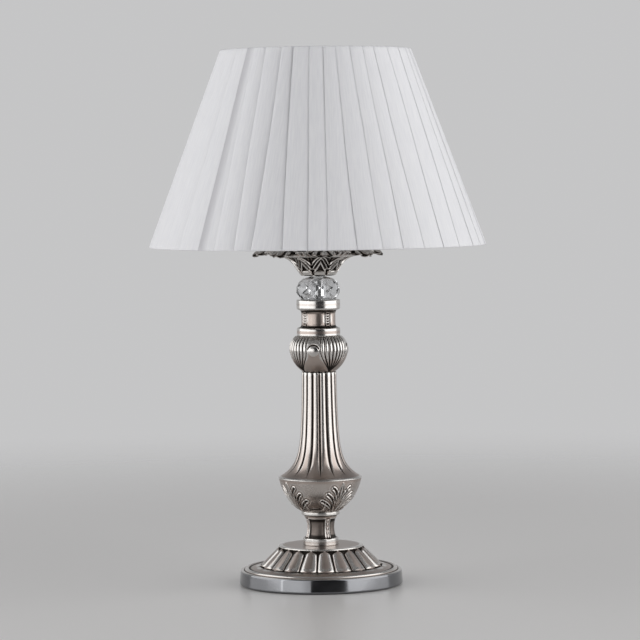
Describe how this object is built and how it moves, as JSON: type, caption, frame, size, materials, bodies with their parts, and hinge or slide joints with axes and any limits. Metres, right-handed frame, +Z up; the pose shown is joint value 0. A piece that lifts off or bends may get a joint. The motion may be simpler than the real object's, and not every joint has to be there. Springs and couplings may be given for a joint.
{
  "type": "table lamp",
  "caption": "Traditional table lamp: cast antique-silver stand with a gadrooned foot, reeded column and crystal bead, under a white pleated empire shade.",
  "frame": {"origin": "middle of the underside, on the table", "axes": "+Z up along the lamp's axis; the front of the stand's ornament faces -Y, the cord inlet +Y"},
  "size_m": [0.35, 0.35, 0.5549],
  "materials": {
    "antique_silver": "antique silver, polished high points over dark patina in the recesses",
    "cast_iron": "raw casting",
    "zinc_plated_steel": "zinc plated",
    "dark_felt": "dense felt",
    "black_plastic": "moulded",
    "white_plastic": "moulded",
    "brass": "bright",
    "crystal": "cut and polished facets",
    "clear_plastic": "clear",
    "white_ceramic": "glazed",
    "brown_insulation": "extruded",
    "blue_insulation": "extruded",
    "black_glass": "vitreous black",
    "nickel_plate": "nickel plated",
    "white_board": "white solder mask",
    "opal_plastic": "opal, slightly frosted",
    "white_satin": "pleated satin weave, slightly cool white",
    "white_liner": "matt sheet",
    "white_wire": "white powder coat"
  },
  "bodies": {
    "stand": {"foot_casting": "antique_silver", "weight_ring": "cast_iron", "bottom_cover": "zinc_plated_steel", "cover_screws": "zinc_plated_steel", "felt_pad": "dark_felt", "cord_bushing": "black_plastic", "terminal_block": "white_plastic", "terminal_block_screws": "brass", "threaded_tube": "zinc_plated_steel", "lower_washer": "zinc_plated_steel", "lower_nut": "zinc_plated_steel", "panelled_neck": "antique_silver", "urn_bowl": "antique_silver", "reeded_column": "antique_silver", "ribbed_knop": "antique_silver", "upper_spool": "antique_silver", "crystal_bead": "crystal", "crystal_washers": "clear_plastic", "leaf_cup": "antique_silver", "cup_nut": "zinc_plated_steel", "holder_cap": "black_plastic", "holder_skirt": "black_plastic", "holder_insert": "white_ceramic", "holder_screw_shell": "brass", "holder_centre_contact": "brass", "holder_terminal_screws": "brass", "live_lead": "brown_insulation", "neutral_lead": "blue_insulation"},
    "shade": {"shade_fabric": "white_satin", "shade_liner": "white_liner", "shade_top_ring": "white_wire", "shade_lower_frame": "white_wire"},
    "clamp_ring": {"shade_clamp_ring": "black_plastic"},
    "bulb_tip": {"bulb_contact": "brass", "bulb_insulator": "black_glass"},
    "bulb": {"bulb_cap": "nickel_plate", "bulb_housing": "white_plastic", "led_board": "white_board", "bulb_globe": "opal_plastic"}
  },
  "joints": [
    {"name": "shade_swivel", "type": "hinge", "parent": "stand", "child": "shade", "pos_m": [0, 0, 0.35495], "axis": [0, 0, 1], "continuous": true},
    {"name": "clamp_ring_lift", "type": "slide", "parent": "stand", "child": "clamp_ring", "axis": [0, 0, 1], "range_m": [0, 0.01]},
    {"name": "bulb_lift", "type": "slide", "parent": "stand", "child": "bulb_tip", "axis": [0, 0, 1], "range_m": [0, 0.0182]},
    {"name": "bulb_turn", "type": "hinge", "parent": "bulb_tip", "child": "bulb", "pos_m": [0, 0, 0.3729], "axis": [0, 0, 1], "range_deg": [0, 1800]}
  ],
  "couplings": [
    {"joint": "bulb_lift", "follows": "bulb_turn", "m_per_rad": 0.00057757}
  ]
}
